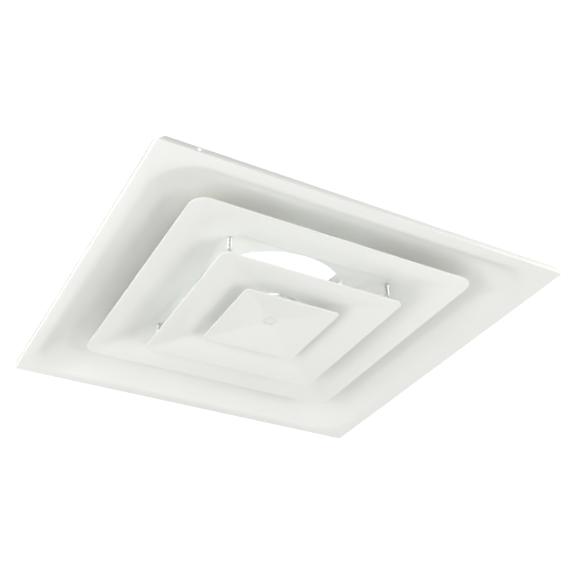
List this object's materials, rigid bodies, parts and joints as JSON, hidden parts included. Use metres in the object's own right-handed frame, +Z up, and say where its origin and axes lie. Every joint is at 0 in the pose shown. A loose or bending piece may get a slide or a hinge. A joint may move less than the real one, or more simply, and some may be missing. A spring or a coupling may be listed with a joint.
{
  "type": "ceiling air diffuser",
  "caption": "Square lay-in ceiling air diffuser with stepped cones, a round duct neck and a spring-hung pull-down face.",
  "frame": {"origin": "on the diffuser's axis, in the plane of the middle cone's lip, its lowest edge; the face plane, which is the underside of the flat border that rests on the ceiling grid, is 4.4 mm above it", "axes": "+Z up, along the duct neck, away from the room; -Y is the front, the side nearest the camera; +X to the right seen from the front"},
  "size_m": [0.6032, 0.6032, 0.1369],
  "materials": {
    "pan_enamel": "semi-gloss white powder coat",
    "cone_enamel": "semi-gloss white powder coat",
    "collar_zinc": "galvanized sheet",
    "hanger_coated": "steel strip, powder-coated white together with the cones",
    "rivet_steel": "bright zinc plate",
    "spring_wire": "bright zinc-plated spring wire",
    "plug_plastic": "satin white moulded plastic"
  },
  "bodies": {
    "pan_and_outer_cone": {"back_pan": "pan_enamel", "duct_collar": "collar_zinc", "collar_rivet_front_left": "rivet_steel", "collar_rivet_front_right": "rivet_steel", "collar_rivet_back_right": "rivet_steel", "collar_rivet_back_left": "rivet_steel", "pan_hanger_front": "hanger_coated", "pan_hanger_right": "hanger_coated", "pan_hanger_back": "hanger_coated", "pan_hanger_left": "hanger_coated", "hanger_rivet_front": "rivet_steel", "hanger_rivet_right": "rivet_steel", "hanger_rivet_back": "rivet_steel", "hanger_rivet_left": "rivet_steel", "outer_cone": "cone_enamel", "spring_front_left": "spring_wire", "spring_front_right": "spring_wire", "spring_back_right": "spring_wire", "spring_back_left": "spring_wire"},
    "face_assembly": {"middle_cone": "cone_enamel", "centre_cone": "cone_enamel", "spring_tab_front_left": "hanger_coated", "spring_tab_front_right": "hanger_coated", "spring_tab_back_right": "hanger_coated", "spring_tab_back_left": "hanger_coated", "cone_hanger_front": "hanger_coated", "cone_hanger_right": "hanger_coated", "cone_hanger_back": "hanger_coated", "cone_hanger_left": "hanger_coated"},
    "access_plug": {"access_plug": "plug_plastic"}
  },
  "joints": [
    {"name": "face_pull_down", "type": "slide", "parent": "pan_and_outer_cone", "child": "face_assembly", "axis": [0, 0, -1], "range_m": [0, 0.035], "stiffness_N_per_m": 600, "deforming": ["spring_front_left", "spring_front_right", "spring_back_right", "spring_back_left"]},
    {"name": "plug_pull_out", "type": "slide", "parent": "face_assembly", "child": "access_plug", "axis": [0, 0, -1], "range_m": [0, 0.02]}
  ]
}
